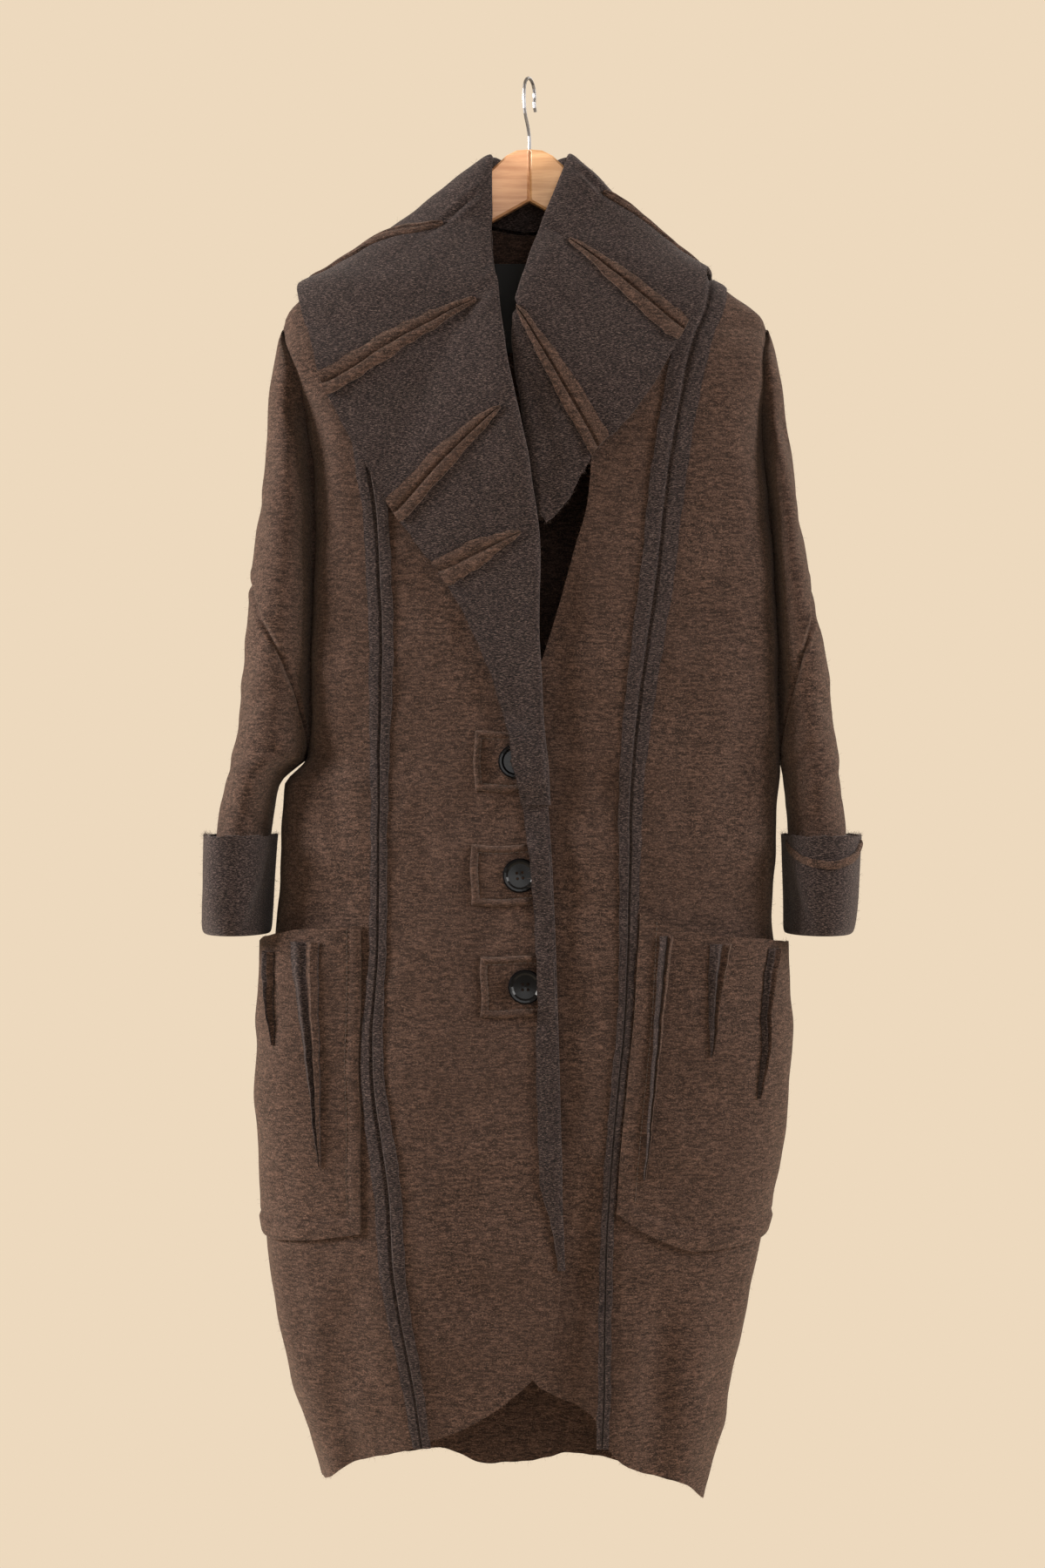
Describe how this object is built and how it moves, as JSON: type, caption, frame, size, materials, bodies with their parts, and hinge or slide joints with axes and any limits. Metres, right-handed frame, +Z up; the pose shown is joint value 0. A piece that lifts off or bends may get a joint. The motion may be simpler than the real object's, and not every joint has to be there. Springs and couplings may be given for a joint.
{
  "type": "wool coat on a hanger",
  "caption": "Long felted wool coat with a wide dart-shaped collar, raw seam strips, turned-back cuffs and patch pockets, hung open-necked on a wooden hanger with a wire hook.",
  "frame": {"origin": "inside top of the hanger's hook, where it rests on a rail", "axes": "+Z up, the coat's front faces -Y, +X to the viewer's right"},
  "size_m": [0.6227, 0.2259, 1.3501],
  "materials": {
    "brown wool": "matt boiled wool with fine level streaks and a soft nap",
    "charcoal wool": "matt heather wool, speckled with light and dark fibres",
    "hanger wood": "satin light orange-tan wood",
    "hook steel": "plain bright wire",
    "button plastic": "glossy black",
    "black label": "plain woven black"
  },
  "bodies": {
    "root": {"hanger_arm_left": "hanger wood", "hanger_arm_right": "hanger wood", "hanger_hook": "hook steel", "back_center": "brown wool", "front_left_center": "brown wool", "front_right_center": "brown wool", "front_left_side": "brown wool", "front_right_side": "brown wool", "back_left_side": "brown wool", "back_right_side": "brown wool", "sleeve_left": "brown wool", "sleeve_right": "brown wool", "cuff_left": "charcoal wool", "cuff_right": "charcoal wool", "cuff_trim_right": "brown wool", "seam_strip_front_right": "charcoal wool", "seam_strip_front_left": "charcoal wool", "seam_strip_back_right": "charcoal wool", "seam_strip_back_left": "charcoal wool", "collar_left": "charcoal wool", "collar_right": "charcoal wool", "front_edge_strip": "charcoal wool", "pocket_left": "brown wool", "pocket_right": "brown wool", "neck_label": "black label", "collar_dart_left_back": "brown wool", "collar_dart_left_shoulder": "brown wool", "collar_dart_left_upper": "brown wool", "collar_dart_left_middle": "brown wool", "collar_dart_left_lower": "brown wool", "collar_dart_right_back": "brown wool", "collar_dart_right_shoulder": "brown wool", "collar_dart_right_upper": "brown wool", "collar_dart_right_lower": "brown wool", "pocket_dart_left_1": "charcoal wool", "pocket_dart_left_2": "charcoal wool", "pocket_dart_right_1": "charcoal wool", "pocket_dart_right_2": "charcoal wool", "pocket_dart_right_3": "charcoal wool", "button_tab_1": "brown wool", "button_1": "button plastic", "button_tab_2": "brown wool", "button_2": "button plastic", "button_tab_3": "brown wool", "button_3": "button plastic"}
  },
  "joints": []
}
